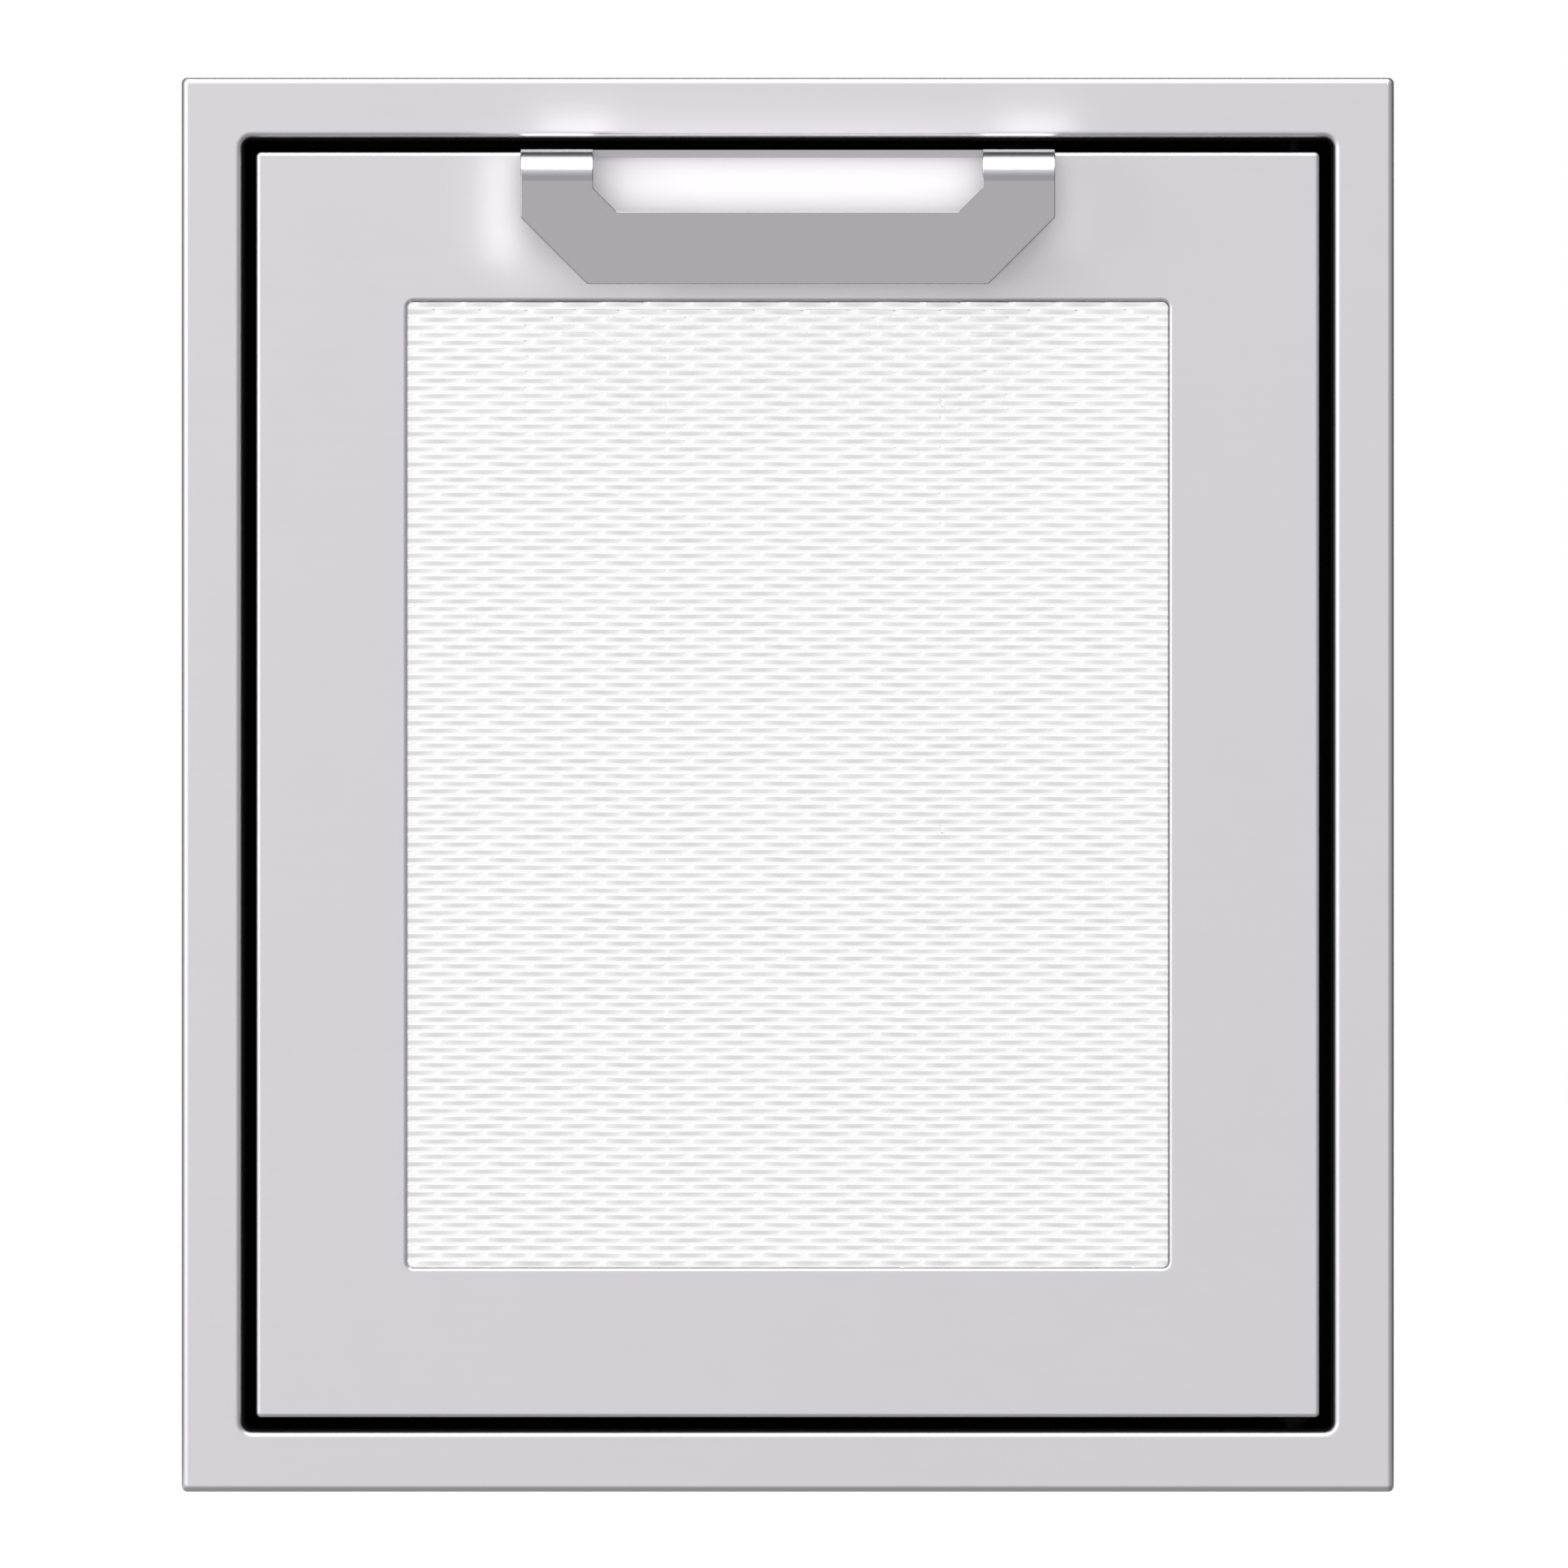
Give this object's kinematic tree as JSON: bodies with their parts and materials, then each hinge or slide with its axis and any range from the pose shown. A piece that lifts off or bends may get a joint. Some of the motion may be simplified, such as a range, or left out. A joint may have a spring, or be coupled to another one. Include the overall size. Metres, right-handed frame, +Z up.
{
  "type": "access door",
  "caption": "Flush side-hinged stainless access door for an outdoor kitchen island: folded trim frame, recessed textured panel, rolled plate handle, concealed pivots.",
  "frame": {"origin": "centre of the door opening, on the plane where the trim's back lies against the wall", "axes": "+X to the right seen from the front, +Y into the wall, +Z up"},
  "size_m": [0.4572, 0.099, 0.5334],
  "materials": {
    "brushed_face": "fine satin grain",
    "embossed_sheet": "embossed, staggered dimples",
    "handle_steel": "satin",
    "mill_sheet": "mill finish",
    "machined_steel": "machined",
    "fastener_steel": "cold formed",
    "plated_steel": "zinc plated",
    "blackened_steel": "black oxide",
    "black_rubber": "matt",
    "black_plastic": "moulded",
    "magnet_ceramic": "sintered"
  },
  "bodies": {
    "frame": {"trim_frame": "brushed_face", "reveal_lining": "black_rubber", "liner_left": "mill_sheet", "liner_right": "mill_sheet", "liner_top": "mill_sheet", "liner_bottom": "mill_sheet", "stop_angle_left": "mill_sheet", "stop_angle_right": "mill_sheet", "stop_angle_top": "mill_sheet", "stop_angle_bottom": "mill_sheet", "seal_latch": "black_rubber", "seal_hinge": "black_rubber", "seal_top": "black_rubber", "seal_bottom": "black_rubber", "upper_bracket": "machined_steel", "lower_bracket": "machined_steel", "upper_bush": "black_plastic", "lower_pivot_pin": "blackened_steel", "thrust_washer": "black_plastic", "catch_housing": "black_plastic", "catch_magnet": "magnet_ceramic", "pole_plates": "plated_steel", "catch_screws": "fastener_steel", "stop_rivets": "fastener_steel", "corner_rivets": "fastener_steel", "bracket_screws": "fastener_steel", "bracket_nuts": "fastener_steel"},
    "door": {"door_skin": "brushed_face", "textured_sheet": "embossed_sheet", "clamp_top": "mill_sheet", "clamp_bottom": "mill_sheet", "clamp_left": "mill_sheet", "clamp_right": "mill_sheet", "door_back_pan": "mill_sheet", "upper_pivot_block": "machined_steel", "lower_pivot_block": "machined_steel", "lower_bush": "black_plastic", "handle_bar": "machined_steel", "handle": "handle_steel", "handle_screws": "fastener_steel", "strike_plate": "plated_steel", "strike_rivets": "fastener_steel", "pin_spring": "machined_steel", "pivot_block_screws": "fastener_steel", "rim_rivets": "fastener_steel", "insert_studs": "fastener_steel", "insert_nuts": "fastener_steel"},
    "release_pin_body": {"release_pin": "blackened_steel", "thumb_tab": "machined_steel"}
  },
  "joints": [
    {"name": "door_hinge", "type": "hinge", "parent": "frame", "child": "door", "pos_m": [0.1915, 0.001, 0], "axis": [0, 0, 1], "range_deg": [0, 110]},
    {"name": "release_pin_slide", "type": "slide", "parent": "door", "child": "release_pin_body", "axis": [0, 0, -1], "range_m": [0, 0.0105], "stiffness_N_per_m": 600, "springref_m": -0.01, "deforming": ["pin_spring"]}
  ]
}
